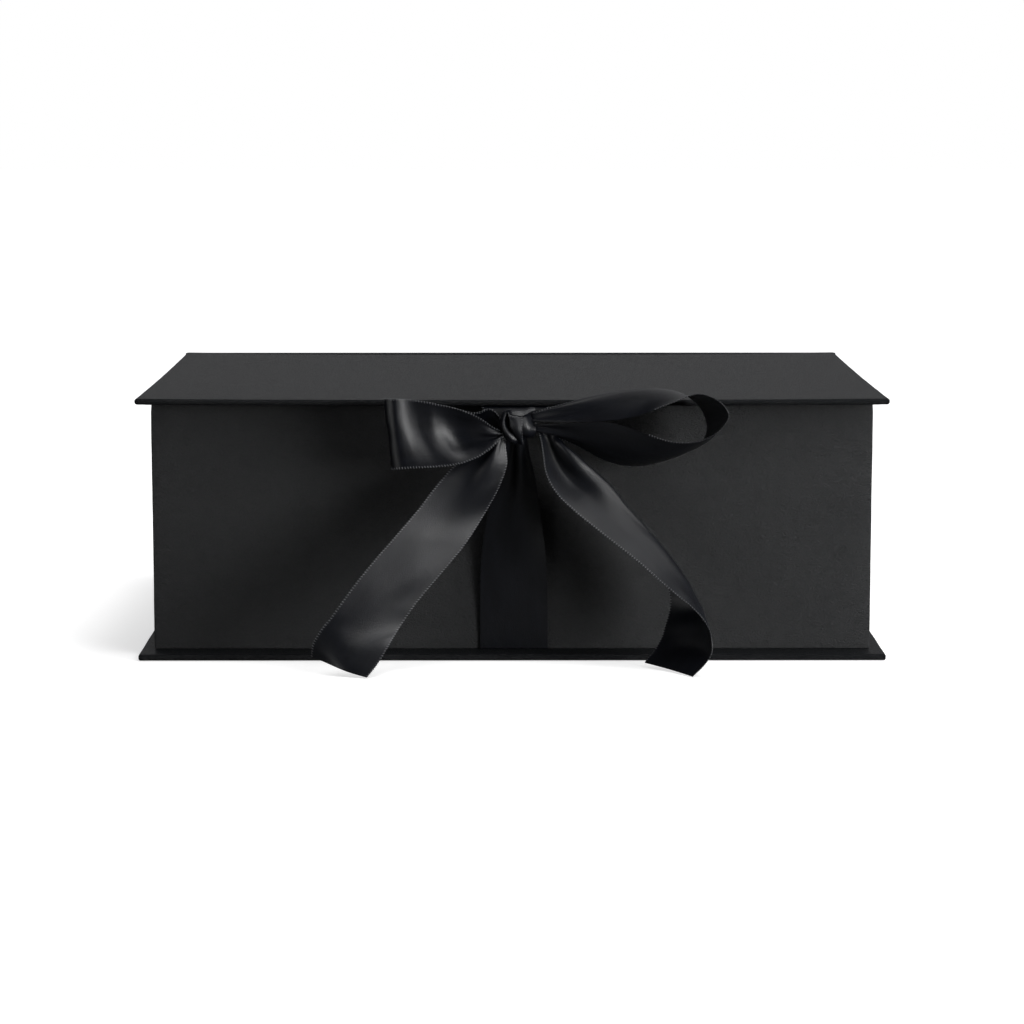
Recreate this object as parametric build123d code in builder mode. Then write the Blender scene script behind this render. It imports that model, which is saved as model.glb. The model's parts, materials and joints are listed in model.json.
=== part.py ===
"""Book-style rigid gift box, closed with two satin ribbons tied in a bow.

Frame: millimetres, +Z up, +X to the right, the front faces -Y. The origin is the centre of the
base panel's underside. The lid turns about the top of the spine, at the back.
"""
from build123d import *
import os

# --- driving dimensions ---------------------------------------------------
case_width = 280.0  # lid and base panels, left to right
case_depth = 200.0  # front edge of the panels to the back of the spine
box_height = 98.0  # closed, from the table to the top of the lid
board = 1.8  # greyboard
paper = 0.25  # wrapping and lining paper
turn_in = 20.0  # margin of wrapping paper folded over a board's edge

side_overhang = 5.0  # lid and base past the tray, each side
front_overhang = 12.0  # lid and base past the tray, at the front
lid_gap = 0.2  # lid lining to tray rim
lining_inset = 3.5  # lid lining back from the lid's edges
hinge_gap = 2.0  # lid board's back edge to the hinge line
hinge_strip = 4.0  # height of the paper that bends, below the hinge line
spine_gap = 0.4  # spine board short of the hinge line
corner_radius = 0.2  # wrapped upright corners of the tray

stay_leg = 12.0  # corner tape, each way from the corner
stay_thick = 0.12
stay_margin = 4.0  # corner tape short of the tray's top and bottom

ribbon_width = 25.0
ribbon_centre = 1.0  # ribbon's middle, right of the box's middle
ribbon_thick = 0.8  # plain solids that stand for the thinner satin
ribbon_glued = 45.0  # length glued under the lid lining and under the tray
ribbon_slack = 0.05  # clearance beside the glued ribbon
tab_setback = 1.1  # the lid's ribbon leaves the lid behind its front edge
tab_thick = 0.5
tab_bottom = 84.0  # where the lid's ribbon goes into the knot
band_clearance = 0.6  # middle of the tray's ribbon to the tray's front

# --- derived --------------------------------------------------------------
half_width = case_width / 2
front = -case_depth / 2
back = case_depth / 2
panel = paper + board + paper

tray_half = half_width - side_overhang
tray_front = front + front_overhang
tray_back = back - paper - board - paper
tray_bottom = panel
lid_turn_in_bottom = box_height - panel
lid_bottom = lid_turn_in_bottom - paper
tray_top = lid_bottom - lid_gap
floor_top = tray_bottom + paper + board
hinge_z = lid_turn_in_bottom
lid_back = back - hinge_gap

os.makedirs("parts", exist_ok=True)


def save(shape, name):
    """Label one finished piece and write it to its own file."""
    shape.label = name
    export_step(shape, f"parts/{name}.step")


def slab(x0, x1, y0, y1, z0, z1, mode=Mode.ADD):
    """A plain panel between two corners, added to the current part."""
    with Locations(((x0 + x1) / 2, (y0 + y1) / 2, (z0 + z1) / 2)):
        Box(x1 - x0, y1 - y0, z1 - z0, mode=mode)


ribbon_x0 = ribbon_centre - ribbon_width / 2
ribbon_x1 = ribbon_centre + ribbon_width / 2

# --- case: base -----------------------------------------------------------
base_board_back = tray_back - paper
with BuildPart() as base_board:
    slab(-half_width + paper, half_width - paper, front + paper, base_board_back, paper, paper + board)
save(base_board.part, "base_board")

with BuildPart() as base_wrap:
    slab(-half_width, half_width, front, tray_back, 0, panel)
    fillet(base_wrap.edges().filter_by(Axis.X).group_by(Axis.Y)[0], paper)
    slab(
        -half_width + paper,
        half_width - paper,
        front + paper,
        tray_back,
        paper,
        paper + board,
        Mode.SUBTRACT,
    )
    slab(
        -half_width + turn_in,
        half_width - turn_in,
        front + turn_in,
        tray_back,
        paper + board,
        panel,
        Mode.SUBTRACT,
    )
save(base_wrap.part, "base_wrap")

# --- case: spine ----------------------------------------------------------
spine_inner = back - paper - board
spine_board_top = hinge_z - spine_gap
with BuildPart() as spine_board:
    slab(-half_width + paper, half_width - paper, spine_inner, back - paper, paper, spine_board_top)
save(spine_board.part, "spine_board")

hinge_strip_bottom = hinge_z - hinge_strip
with BuildPart() as spine_wrap:
    slab(-half_width, half_width, tray_back, back, 0, hinge_strip_bottom)
    slab(
        -half_width + paper,
        half_width - paper,
        tray_back,
        back - paper,
        paper,
        hinge_strip_bottom,
        Mode.SUBTRACT,
    )
save(spine_wrap.part, "spine_wrap")

with BuildPart() as hinge_wrap:
    slab(-half_width, half_width, back - paper, back, hinge_strip_bottom, hinge_z)
save(hinge_wrap.part, "hinge_wrap")

with BuildPart() as hinge_lining:
    slab(-tray_half, tray_half, tray_back, spine_inner, tray_bottom, spine_board_top)
save(hinge_lining.part, "hinge_lining")

# --- case: lid ------------------------------------------------------------
with BuildPart() as lid_board:
    slab(
        -half_width + paper,
        half_width - paper,
        front + paper,
        lid_back,
        lid_turn_in_bottom + paper,
        box_height - paper,
    )
save(lid_board.part, "lid_board")

with BuildPart() as lid_wrap:
    slab(-half_width, half_width, front, lid_back, lid_turn_in_bottom, box_height)
    fillet(lid_wrap.edges().filter_by(Axis.X).group_by(Axis.Y)[0], paper)
    slab(
        -half_width + paper,
        half_width - paper,
        front + paper,
        lid_back,
        lid_turn_in_bottom + paper,
        box_height - paper,
        Mode.SUBTRACT,
    )
    slab(
        -half_width + turn_in,
        half_width - turn_in,
        front + turn_in,
        lid_back,
        lid_turn_in_bottom,
        lid_turn_in_bottom + paper,
        Mode.SUBTRACT,
    )
    slab(
        ribbon_x0 - ribbon_slack,
        ribbon_x1 + ribbon_slack,
        front + paper,
        front + turn_in,
        lid_turn_in_bottom,
        lid_turn_in_bottom + paper,
        Mode.SUBTRACT,
    )
save(lid_wrap.part, "lid_wrap")

with BuildPart() as lid_lining:
    slab(
        -half_width + lining_inset,
        half_width - lining_inset,
        front + lining_inset,
        lid_back - lining_inset,
        lid_bottom,
        lid_turn_in_bottom,
    )
save(lid_lining.part, "lid_lining")

# --- tray: boards ---------------------------------------------------------
wall_out_x = tray_half - paper
wall_in_x = wall_out_x - board
wall_out_front = tray_front + paper
wall_in_front = wall_out_front + board
wall_out_back = tray_back - paper
wall_in_back = wall_out_back - board
wall_bottom = tray_bottom + paper
wall_top = tray_top - paper

with BuildPart() as tray_front_board:
    slab(-wall_out_x, wall_out_x, wall_out_front, wall_in_front, wall_bottom, wall_top)
save(tray_front_board.part, "tray_front_board")

with BuildPart() as tray_back_board:
    slab(-wall_out_x, wall_out_x, wall_in_back, wall_out_back, wall_bottom, wall_top)
save(tray_back_board.part, "tray_back_board")

with BuildPart() as tray_left_board:
    slab(-wall_out_x, -wall_in_x, wall_in_front, wall_in_back, wall_bottom, wall_top)
save(tray_left_board.part, "tray_left_board")

with BuildPart() as tray_right_board:
    slab(wall_in_x, wall_out_x, wall_in_front, wall_in_back, wall_bottom, wall_top)
save(tray_right_board.part, "tray_right_board")

with BuildPart() as tray_floor_board:
    slab(-wall_in_x, wall_in_x, wall_in_front, wall_in_back, wall_bottom, floor_top)
save(tray_floor_board.part, "tray_floor_board")

with BuildPart() as tray_floor_lining:
    slab(
        -wall_in_x + paper,
        wall_in_x - paper,
        wall_in_front + paper,
        wall_in_back - paper,
        floor_top,
        floor_top + paper,
    )
save(tray_floor_lining.part, "tray_floor_lining")

# --- tray: corner tapes ---------------------------------------------------
stay_bottom = wall_bottom + stay_margin
stay_height = wall_top - stay_margin - stay_bottom
corners = {
    "front_left": (-1, -1),
    "front_right": (1, -1),
    "back_left": (-1, 1),
    "back_right": (1, 1),
}
stays = []
for corner, (side, end) in corners.items():
    corner_y = wall_out_front if end < 0 else wall_out_back
    with BuildPart() as stay:
        with BuildSketch(Plane.XY.offset(stay_bottom)):
            with BuildLine():
                Polyline(
                    (side * (wall_out_x + stay_thick), corner_y + end * stay_thick),
                    (side * (wall_out_x - stay_leg), corner_y + end * stay_thick),
                    (side * (wall_out_x - stay_leg), corner_y),
                    (side * wall_out_x, corner_y),
                    (side * wall_out_x, corner_y - end * stay_leg),
                    (side * (wall_out_x + stay_thick), corner_y - end * stay_leg),
                    close=True,
                )
            make_face()
        extrude(amount=stay_height)
    save(stay.part, f"corner_stay_{corner}")
    stays.append(stay.part)

# --- tray: wrapping paper -------------------------------------------------
with BuildPart() as tray_wrap:
    slab(-tray_half, tray_half, tray_front, tray_back, tray_bottom, tray_top)
    fillet(tray_wrap.edges().filter_by(Axis.Z), corner_radius)
    slab(-wall_out_x, wall_out_x, wall_out_front, wall_out_back, wall_bottom, wall_top, Mode.SUBTRACT)
    slab(
        -wall_in_x + paper,
        wall_in_x - paper,
        wall_in_front + paper,
        wall_in_back - paper,
        wall_top,
        tray_top,
        Mode.SUBTRACT,
    )
    slab(
        -tray_half + turn_in,
        tray_half - turn_in,
        tray_front + turn_in,
        tray_back - turn_in,
        tray_bottom,
        wall_bottom,
        Mode.SUBTRACT,
    )
    slab(
        ribbon_x0 - ribbon_slack,
        ribbon_x1 + ribbon_slack,
        tray_front,
        tray_front + turn_in,
        tray_bottom,
        wall_bottom,
        Mode.SUBTRACT,
    )
    # the paper inside the walls, from the rim down to the floor board
    slab(-wall_in_x, wall_in_x, wall_in_front, wall_in_back, floor_top, wall_top)
    slab(
        -wall_in_x + paper,
        wall_in_x - paper,
        wall_in_front + paper,
        wall_in_back - paper,
        floor_top,
        wall_top,
        Mode.SUBTRACT,
    )
    for stay_part in stays:
        add(stay_part, mode=Mode.SUBTRACT)
save(tray_wrap.part, "tray_wrap")

# --- ribbon: glued ends ---------------------------------------------------
with BuildPart() as base_ribbon_anchor:
    slab(ribbon_x0, ribbon_x1, tray_front, tray_front + ribbon_glued, tray_bottom, wall_bottom)
save(base_ribbon_anchor.part, "base_ribbon_anchor")

knot_x0 = -4.3
knot_x1 = 9.5
knot_z0 = 80.5
knot_z1 = 94.6
knot_front = -110.0
knot_back = -99.6
knot_chamfer = 2.0

# The lid's ribbon hangs down behind the knot.
tab_front = front + tab_setback
tab_back = tab_front + tab_thick
with BuildPart() as lid_ribbon:
    slab(
        ribbon_x0,
        ribbon_x1,
        tab_front,
        tab_front + ribbon_glued,
        lid_turn_in_bottom,
        lid_turn_in_bottom + paper,
    )
    with BuildSketch(Plane.XZ.offset(-tab_front)):
        with BuildLine():
            Polyline(
                (ribbon_x0, lid_turn_in_bottom),
                (ribbon_x1, lid_turn_in_bottom),
                (knot_x1, tab_bottom),
                (knot_x0, tab_bottom),
                close=True,
            )
        make_face()
    extrude(amount=tab_front - tab_back)
save(lid_ribbon.part, "lid_ribbon")

# --- bow ------------------------------------------------------------------
with BuildPart() as bow_knot:
    slab(knot_x0, knot_x1, knot_front, knot_back, knot_z0, knot_z1)
    chamfer(bow_knot.faces().sort_by(Axis.Y)[0].edges(), knot_chamfer)
save(bow_knot.part, "bow_knot")


def ribbon_sheet(side_line, front_outline):
    """A band with the given run in the YZ plane, trimmed to its outline seen from the front."""
    reach = 200.0
    with BuildPart() as sheet:
        with BuildSketch(Plane.YZ.offset(-reach)):
            with BuildLine():
                line = Polyline(*side_line)
                offset(line, amount=ribbon_thick / 2, kind=Kind.INTERSECTION)
            make_face()
        extrude(amount=2 * reach)
        with BuildSketch(Plane.XZ):
            with BuildLine():
                Polyline(*front_outline, close=True)
            make_face()
        extrude(amount=reach, mode=Mode.INTERSECT)
    return sheet.part


# The band leans forward from the tray's foot to the underside of the knot.
band_foot_y = tray_front - band_clearance
band_foot_z = wall_bottom + 1.0
band_top_y = -104.0
with BuildPart() as base_ribbon_band:
    add(
        ribbon_sheet(
            [(band_foot_y, tray_bottom), (band_foot_y, band_foot_z), (-97.0, 70.0), (band_top_y, knot_z0)],
            [
                (ribbon_x0, tray_bottom),
                (ribbon_x1, tray_bottom),
                (ribbon_x1, 36.0),
                (9.0, 66.0),
                (6.0, knot_z0),
                (-1.0, knot_z0),
                (-6.0, 66.0),
                (ribbon_x0, 36.0),
            ],
        )
    )
save(base_ribbon_band.part, "base_ribbon_band")

# Left tail: down to the left, out over the base's front edge, its cut end on the table.
with BuildPart() as bow_left_tail:
    add(
        ribbon_sheet(
            [(-103.0, 90.0), (-107.0, 66.0), (-112.0, 40.0), (-119.0, 20.0), (-124.0, 9.0), (-136.0, 1.0)],
            [
                (knot_x0, 86.0),
                (-10.5, 76.0),
                (-22.7, 71.0),
                (-46.9, 43.3),
                (-67.5, 17.6),
                (-73.0, 9.0),
                (-72.8, 5.0),
                (-52.2, 0.0),
                (-45.0, 11.7),
                (-33.2, 25.9),
                (-21.9, 39.8),
                (-10.9, 50.1),
                (-4.6, 66.4),
                (-2.0, 76.0),
                (-2.0, knot_z0),
                (knot_x0, knot_z0),
            ],
        )
    )
save(bow_left_tail.part, "bow_left_tail")

# Right tail: down to the right, its lower end curled back to the left.
with BuildPart() as bow_right_tail:
    add(
        ribbon_sheet(
            [(-103.0, 90.0), (-106.0, 68.0), (-112.0, 44.0), (-118.0, 28.0), (-125.0, 13.0), (-134.0, 1.0)],
            [
                (knot_x1, 85.0),
                (knot_x1, knot_z0),
                (13.9, 67.6),
                (18.3, 61.6),
                (33.0, 51.0),
                (52.0, 35.8),
                (58.0, 29.0),
                (54.7, 13.0),
                (48.1, 3.0),
                (66.8, 0.0),
                (73.1, 9.5),
                (72.0, 15.6),
                (64.6, 31.8),
                (52.0, 49.0),
                (39.7, 62.6),
                (26.9, 75.5),
                (19.8, 79.5),
            ],
        )
    )
save(bow_right_tail.part, "bow_right_tail")

# Left loop: its ribbon stands on edge, folded flat at the left end and gathered at the knot.
loop_fold_x = -46.0
loop_fold_back = -106.5
loop_fold_front = -110.5
loop_fold_middle = (loop_fold_back + loop_fold_front) / 2
loop_low = 60.0  # below the loop, where its run is drawn
loop_tall = 60.0  # past the loop's top
loop_reach = 200.0  # past the loop's front
with BuildPart() as bow_left_loop:
    with BuildSketch(Plane.XY.offset(loop_low)):
        with BuildLine():
            ThreePointArc((knot_x0, -106.0), (-26.0, -102.8), (loop_fold_x, loop_fold_back))
            ThreePointArc(
                (loop_fold_x, loop_fold_back),
                (loop_fold_x - 2.0, loop_fold_middle),
                (loop_fold_x, loop_fold_front),
            )
            ThreePointArc((loop_fold_x, loop_fold_front), (-26.0, -117.5), (knot_x0, -109.6))
            Line((knot_x0, -109.6), (knot_x0, -106.0))
        make_face()
    extrude(amount=loop_tall)
    with BuildSketch(Plane.XY.offset(loop_low)):
        with BuildLine():
            ThreePointArc((-8.0, -106.2), (-26.0, -103.6), (loop_fold_x, loop_fold_back - ribbon_thick))
            Line(
                (loop_fold_x, loop_fold_back - ribbon_thick),
                (loop_fold_x, loop_fold_front + ribbon_thick),
            )
            ThreePointArc((loop_fold_x, loop_fold_front + ribbon_thick), (-26.0, -116.7), (-8.0, -110.3))
            Line((-8.0, -110.3), (-8.0, -106.2))
        make_face()
    extrude(amount=loop_tall, mode=Mode.SUBTRACT)
    with BuildSketch(Plane.XZ):
        with BuildLine():
            Polyline(
                (-50.0, 98.2),
                (-42.0, 98.2),
                (-21.0, 94.9),
                (knot_x0, 90.0),
                (knot_x0, 86.2),
                (-10.5, 77.0),
                (-21.0, 73.5),
                (-34.0, 72.3),
                (-50.0, 72.3),
                close=True,
            )
        make_face()
    extrude(amount=loop_reach, mode=Mode.INTERSECT)
save(bow_left_loop.part, "bow_left_loop")

# Right loop: an open teardrop, its near edge lower, further out and higher on its underside.
loop_far_y = -102.0
loop_near_y = -124.0
loop_overshoot = 0.01  # the hollow passes both rims
far_ring = [
    (knot_x1, 93.0),
    (33.0, 99.0),
    (51.0, 101.3),
    (66.0, 98.5),
    (72.5, 88.0),
    (60.0, 75.5),
    (44.0, 72.6),
    (24.0, 80.3),
    (knot_x1, 86.0),
]
near_ring = [
    (16.0, 94.0),
    (40.0, 95.0),
    (57.0, 98.5),
    (70.0, 101.8),
    (79.5, 93.5),
    (66.0, 83.5),
    (48.0, 86.5),
    (28.0, 89.5),
    (16.0, 90.0),
]
with BuildPart() as bow_right_loop:
    for ring_y, ring in ((loop_far_y, far_ring), (loop_near_y, near_ring)):
        with BuildSketch(Plane.XZ.offset(-ring_y)):
            with BuildLine():
                Polyline(*ring, close=True)
            make_face()
    loft(ruled=True)
    hollow_rings = (
        (loop_far_y + loop_overshoot, far_ring),
        (loop_near_y - loop_overshoot, near_ring),
    )
    for ring_y, ring in hollow_rings:
        with BuildSketch(Plane.XZ.offset(-ring_y)):
            with BuildLine():
                Polyline(*ring, close=True)
            make_face()
            offset(amount=-ribbon_thick, kind=Kind.INTERSECTION, mode=Mode.REPLACE)
    loft(ruled=True, mode=Mode.SUBTRACT)
    add(bow_knot.part, mode=Mode.SUBTRACT)
save(bow_right_loop.part, "bow_right_loop")
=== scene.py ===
"""Looks of the book-style gift box: textured black paper over board, and a black satin bow."""
import json
import math

import bmesh
import bpy
import numpy as np
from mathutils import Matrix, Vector, noise


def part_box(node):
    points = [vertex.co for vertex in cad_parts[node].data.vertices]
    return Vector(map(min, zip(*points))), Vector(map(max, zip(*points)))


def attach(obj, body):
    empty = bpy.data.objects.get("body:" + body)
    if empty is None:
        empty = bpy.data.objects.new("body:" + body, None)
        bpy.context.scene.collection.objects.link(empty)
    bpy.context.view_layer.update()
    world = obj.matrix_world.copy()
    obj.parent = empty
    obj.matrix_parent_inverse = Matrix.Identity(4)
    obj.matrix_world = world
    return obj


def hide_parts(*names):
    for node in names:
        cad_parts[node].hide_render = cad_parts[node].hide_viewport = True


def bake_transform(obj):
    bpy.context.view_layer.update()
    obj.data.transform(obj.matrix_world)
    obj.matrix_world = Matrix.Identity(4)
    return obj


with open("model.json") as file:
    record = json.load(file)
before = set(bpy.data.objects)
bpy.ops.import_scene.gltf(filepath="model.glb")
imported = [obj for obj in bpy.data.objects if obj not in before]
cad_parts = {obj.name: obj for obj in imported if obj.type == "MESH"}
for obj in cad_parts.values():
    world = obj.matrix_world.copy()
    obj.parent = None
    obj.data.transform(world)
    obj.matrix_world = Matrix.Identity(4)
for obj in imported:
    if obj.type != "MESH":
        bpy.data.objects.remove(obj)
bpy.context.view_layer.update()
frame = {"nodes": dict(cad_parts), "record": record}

MM = 0.001
nodes = frame["nodes"]


def lo_hi(node):
    """The two corners of a CAD node in millimetres."""
    lo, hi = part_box(node)
    return np.array(lo) / MM, np.array(hi) / MM


lid_lo, lid_hi = lo_hi("lid_wrap")
base_lo, base_hi = lo_hi("base_wrap")
tray_lo, tray_hi = lo_hi("tray_wrap")
spine_lo, spine_hi = lo_hi("spine_wrap")
lining_lo, lining_hi = lo_hi("lid_lining")
board_lo, board_hi = lo_hi("tray_front_board")
PAPER = board_lo[1] - tray_lo[1]
BOARD = board_hi[1] - board_lo[1]
TURN_IN = 20.0  # paper folded over the edge of a board

# --- camera ---------------------------------------------------------------
camera_place = Vector((-4.05, -1261.1, 217.5)) * MM
camera_pitch = math.radians(7.91)  # looks down by this much
camera_turn = math.radians(-0.195)
focal_in_widths = 3.0774  # focal length over the picture's width
camera_data = bpy.data.cameras.new("camera")
camera_data.sensor_width = 36.0
camera_data.lens = 36.0 * focal_in_widths
camera_data.clip_end = 50.0
camera = bpy.data.objects.new("camera", camera_data)
camera.location = camera_place
camera.rotation_euler = (math.pi / 2 - camera_pitch, 0.0, camera_turn)
bpy.context.scene.collection.objects.link(camera)
bpy.context.scene.camera = camera


# --- floor and light ------------------------------------------------------
SEEN = (1.0, 1.0, 1.0)  # the surroundings in the picture
ROOM = (0.025, 0.026, 0.031)  # the surroundings that light the box
FLOOR_GLOW = 0.8  # the floor's glow near the box as the camera sees it, lowered there as painted shade
PAINTED_SHADE_CENTRE = (-0.1, -0.12, 0.0)  # the centre of the floor's painted shade, where its glow is least
GLOW_REACH = (0.05, 0.35)  # the glow rises to white between these distances from there
CONTACT_REACH = 0.05  # how far out from the box the floor's painted contact shade reaches
# how much of the floor's glow is left where its painted contact shade is deepest
CONTACT_GLOW = 0.5
FLOOR_BOUNCE = 0.12
FLOOR_WHITE = 0.6
FLOOR_REACH = 6.0
FLOOR_DROP = 0.0002  # keeps the floor just clear of the box
LIGHTS = [  # name, place, aim, size, watts
    ("near", (0.42, -0.36, 0.12), (0.08, -0.10, 0.05), (0.2, 0.2), 1.1),
    ("right", (0.66, -0.56, 0.14), (0.0, -0.10, 0.05), (0.4, 0.24), 3.0),
    ("left", (-0.68, -0.58, 0.14), (0.0, -0.10, 0.05), (0.4, 0.24), 1.4),
    ("key", (0.64, -0.64, 0.66), (0.0, -0.11, 0.05), (0.65, 0.65), 4.8),
    ("over", (0.36, -0.15, 1.75), (0.0, 0.0, 0.05), (0.6, 0.6), 13.0),
    ("back", (0.0, 1.2, 0.5), (0.0, 0.0, 0.05), (2.0, 0.8), 1.8),
]


def area_light(name, place, aim, size, power):
    data = bpy.data.lights.new(name, "AREA")
    data.shape = "RECTANGLE"
    data.size, data.size_y = size
    data.energy = power
    light = bpy.data.objects.new(name, data)
    light.location = place
    light.rotation_euler = (Vector(aim) - Vector(place)).to_track_quat("-Z", "Y").to_euler()
    bpy.context.scene.collection.objects.link(light)


def node_material(name):
    """A new material, its node tree and its Principled shader."""
    material = bpy.data.materials.new(name)
    material.use_nodes = True
    return material, material.node_tree, material.node_tree.nodes["Principled BSDF"]


def studio():
    """White surroundings as the camera sees them; a dimmer room with soft boxes as the box sees it. The floor
    glows for the camera, with painted shade near the box and where things stand on it.
    """
    world = bpy.data.worlds.new("studio")
    world.use_nodes = True
    tree = world.node_tree
    background = tree.nodes["Background"]
    background.inputs["Strength"].default_value = 1.0
    rays = tree.nodes.new("ShaderNodeLightPath")
    mix = tree.nodes.new("ShaderNodeMix")
    mix.data_type = "RGBA"
    mix.inputs[6].default_value = (*ROOM, 1.0)
    mix.inputs[7].default_value = (*SEEN, 1.0)
    tree.links.new(rays.outputs["Is Camera Ray"], mix.inputs[0])
    tree.links.new(mix.outputs[2], background.inputs["Color"])
    bpy.context.scene.world = world
    bpy.context.scene.view_settings.view_transform = "Standard"
    for light in LIGHTS:
        area_light(*light)

    mesh = bpy.data.meshes.new("floor")
    corners = [(x * FLOOR_REACH, y * FLOOR_REACH, 0) for x, y in ((-1, -1), (1, -1), (1, 1), (-1, 1))]
    mesh.from_pydata(corners, [], [(0, 1, 2, 3)])
    floor = bpy.data.objects.new("floor", mesh)
    floor.location.z = -FLOOR_DROP
    bpy.context.scene.collection.objects.link(floor)
    material, tree, shader = node_material("floor_white")
    shader.inputs["Roughness"].default_value = 0.9
    shader.inputs["Specular IOR Level"].default_value = 0.0
    shader.inputs["Emission Color"].default_value = (1.0, 1.0, 1.0, 1.0)
    k = Nodes(tree)
    seen = k.new("ShaderNodeLightPath").outputs["Is Camera Ray"]
    place = k.new("ShaderNodeTexCoord")
    away = k.new("ShaderNodeVectorMath", operation="DISTANCE")
    k.link(place.outputs["Object"], away.inputs[0])
    away.inputs[1].default_value = PAINTED_SHADE_CENTRE
    # The glow is lowest near the box's front, left of its middle, and rises to white further out: painted
    # shade.
    glow = k.remap(away.outputs["Value"], FLOOR_GLOW, 1.0, *GLOW_REACH)
    # Painted contact shade: ambient occlusion dims the floor's glow close to the box and the ribbon's tails.
    shade = k.new("ShaderNodeAmbientOcclusion", samples=6)
    shade.inputs["Distance"].default_value = CONTACT_REACH
    glow = k.math("MULTIPLY", glow, k.remap(shade.outputs["AO"], CONTACT_GLOW, 1.0))
    k.link(k.math("MULTIPLY", seen, glow), shader.inputs["Emission Strength"])
    white = k.ramp(seen, [(0.0, (FLOOR_BOUNCE,) * 3), (1.0, (FLOOR_WHITE,) * 3)])
    k.link(white, shader.inputs["Base Color"])
    mesh.materials.append(material)


# --- materials ------------------------------------------------------------
class Nodes:
    """Short ways to add and join shader nodes."""

    def __init__(self, tree):
        self.tree = tree

    def new(self, kind, **settings):
        node = self.tree.nodes.new(kind)
        for key, value in settings.items():
            setattr(node, key, value)
        return node

    def link(self, source, target):
        self.tree.links.new(source, target)

    def mapped(self, scale, coordinates="Object"):
        """Texture coordinates scaled by three factors."""
        place = self.new("ShaderNodeTexCoord")
        mapping = self.new("ShaderNodeMapping")
        mapping.inputs["Scale"].default_value = scale
        self.link(place.outputs[coordinates], mapping.inputs["Vector"])
        return mapping.outputs["Vector"]

    def noise(self, vector, scale, detail=4.0, roughness=0.5, distortion=0.0):
        node = self.new("ShaderNodeTexNoise")
        node.inputs["Scale"].default_value = scale
        node.inputs["Detail"].default_value = detail
        node.inputs["Roughness"].default_value = roughness
        node.inputs["Distortion"].default_value = distortion
        self.link(vector, node.inputs["Vector"])
        return node.outputs["Fac"]

    def ramp(self, value, stops):
        """A colour ramp: stops are (place, colour)."""
        node = self.new("ShaderNodeValToRGB")
        ramp = node.color_ramp
        while len(ramp.elements) < len(stops):
            ramp.elements.new(0.5)
        for element, (place, colour) in zip(ramp.elements, stops):
            element.position = place
            element.color = (*colour, 1.0)
        self.link(value, node.inputs["Fac"])
        return node.outputs["Color"]

    def remap(self, value, low, high, start=0.0, end=1.0):
        node = self.new("ShaderNodeMapRange")
        node.inputs["From Min"].default_value = start
        node.inputs["From Max"].default_value = end
        node.inputs["To Min"].default_value = low
        node.inputs["To Max"].default_value = high
        self.link(value, node.inputs["Value"])
        return node.outputs["Result"]

    def math(self, operation, a, b=None):
        node = self.new("ShaderNodeMath", operation=operation)
        for socket, value in zip(node.inputs, (a, b)):
            if value is None:
                continue
            if isinstance(value, (int, float)):
                socket.default_value = value
            else:
                self.link(value, socket)
        return node.outputs[0]

    def bump(self, height, strength, distance, normal=None):
        node = self.new("ShaderNodeBump")
        node.inputs["Strength"].default_value = strength
        node.inputs["Distance"].default_value = distance
        self.link(height, node.inputs["Height"])
        if normal is not None:
            self.link(normal, node.inputs["Normal"])
        return node.outputs["Normal"]


def grey(level, blue=0.0):
    return (level, level * (1 + blue * 0.4), level * (1 + blue))


def paper_material(name, level, blue, grain, crinkle, rough, shine):
    """Black wrapping paper. grain stretches its fibre along X, crinkle is the depth of its wrinkles."""
    material, tree, shader = node_material(name)
    k = Nodes(tree)
    fibre = k.noise(k.mapped((90.0 / grain, 90.0, 90.0)), 12.0, 6.0, 0.62)
    cloud = k.noise(k.mapped((1.0, 1.0, 1.0)), 26.0, 3.0, 0.55, 0.4)
    colour = k.new("ShaderNodeMix", data_type="RGBA")
    k.link(k.remap(k.math("ADD", fibre, cloud), 0.0, 1.0, 0.7, 1.3), colour.inputs["Factor"])
    colour.inputs["A"].default_value = (*grey(level * 0.86, blue + 0.03), 1.0)
    colour.inputs["B"].default_value = (*grey(level * 1.14, blue), 1.0)
    k.link(colour.outputs["Result"], shader.inputs["Base Color"])
    wrinkle = k.new("ShaderNodeTexVoronoi", feature="SMOOTH_F1")
    wrinkle.inputs["Scale"].default_value = 420.0
    wrinkle.inputs["Smoothness"].default_value = 0.9
    warp = k.new("ShaderNodeTexNoise")
    warp.inputs["Scale"].default_value = 190.0
    warp.inputs["Detail"].default_value = 3.0
    spread = k.new("ShaderNodeMix", data_type="RGBA")
    spread.inputs["Factor"].default_value = 0.012
    k.link(k.mapped((1.0, 1.0, 1.0)), spread.inputs["A"])
    k.link(warp.outputs["Color"], spread.inputs["B"])
    k.link(spread.outputs["Result"], wrinkle.inputs["Vector"])
    first = k.bump(wrinkle.outputs["Distance"], crinkle, 0.0006)
    second = k.bump(fibre, 0.6, 0.00016, first)
    k.link(second, shader.inputs["Normal"])
    k.link(k.remap(fibre, rough - 0.05, rough + 0.07), shader.inputs["Roughness"])
    shader.inputs["Specular IOR Level"].default_value = shine
    return material


def board_material():
    """Raw greyboard with flecks of recycled fibre."""
    material, tree, shader = node_material("greyboard")
    k = Nodes(tree)
    fleck = k.noise(k.mapped((300.0, 300.0, 300.0)), 3.0, 6.0, 0.7)
    colour = k.ramp(fleck, [(0.3, (0.2, 0.19, 0.17)), (0.6, (0.44, 0.42, 0.38)), (0.8, (0.6, 0.57, 0.52))])
    k.link(colour, shader.inputs["Base Color"])
    k.link(k.bump(fleck, 0.4, 0.0002), shader.inputs["Normal"])
    shader.inputs["Roughness"].default_value = 0.9
    return material


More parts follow.
